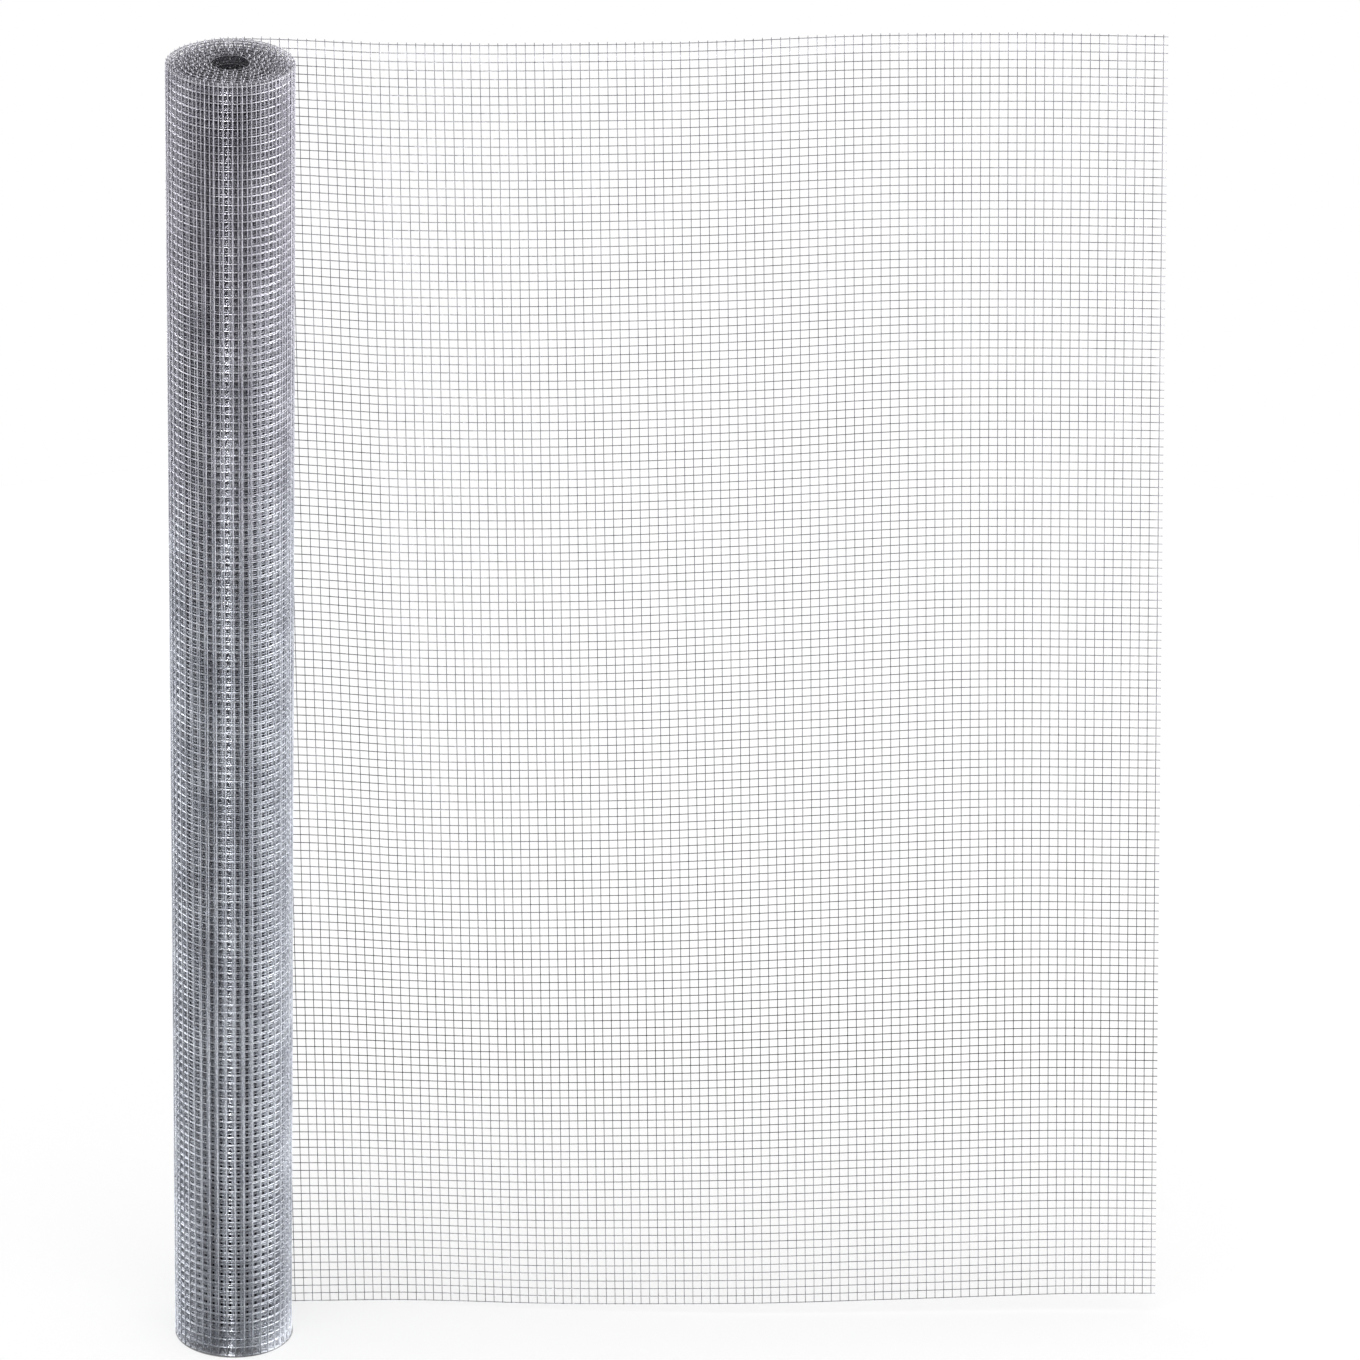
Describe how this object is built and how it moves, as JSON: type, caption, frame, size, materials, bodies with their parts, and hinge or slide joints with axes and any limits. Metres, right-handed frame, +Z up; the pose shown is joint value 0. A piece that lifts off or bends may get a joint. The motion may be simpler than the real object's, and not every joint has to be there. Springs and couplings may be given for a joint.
{
  "type": "roll of welded wire mesh",
  "caption": "Roll of fine galvanised welded wire mesh standing on end, wound tight round an open bore, its free end drawn off as an upright flat sheet.",
  "frame": {"origin": "on the roll's axis, in the plane of its lower end", "axes": "+Z up along the roll's axis, +X along the free end away from the roll, +Y towards the back, where the free end leaves the roll"},
  "size_m": [0.7078, 0.0886, 1],
  "materials": {
    "winding": "hot-dip galvanised wire, dull satin, wound tight and dark between the wires",
    "wire": "hot-dip galvanised wire, dull satin with small zinc beads at the welds"
  },
  "bodies": {
    "root": {"wound_roll": "winding", "line_wires": "wire", "cross_wires": "wire"}
  },
  "joints": []
}
